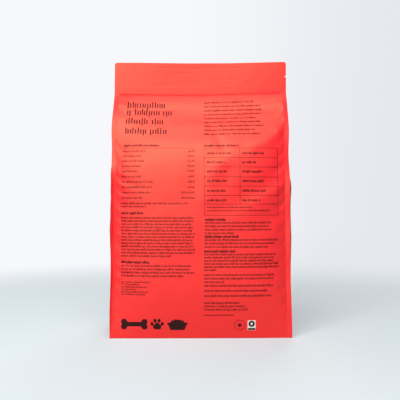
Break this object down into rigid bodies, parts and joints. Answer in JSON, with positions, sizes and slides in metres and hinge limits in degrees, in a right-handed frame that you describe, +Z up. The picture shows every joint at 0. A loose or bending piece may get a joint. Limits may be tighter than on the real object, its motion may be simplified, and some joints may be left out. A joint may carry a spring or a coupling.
{
  "type": "pet food bag",
  "caption": "Filled and closed flat-bottomed film bag of dry pet food, with side gussets, corner seals, a zip line and a header with a tear notch.",
  "frame": {"origin": "on the shelf below the middle of the bag's box", "axes": "+Z up, -Y out of the printed panel that the picture shows, +X to the right as that panel is seen"},
  "size_m": [0.2218, 0.1122, 0.337],
  "materials": {
    "red_film": "matte red-orange printed film with a soft sheen"
  },
  "bodies": {
    "root": {"bag": "red_film"}
  },
  "joints": []
}
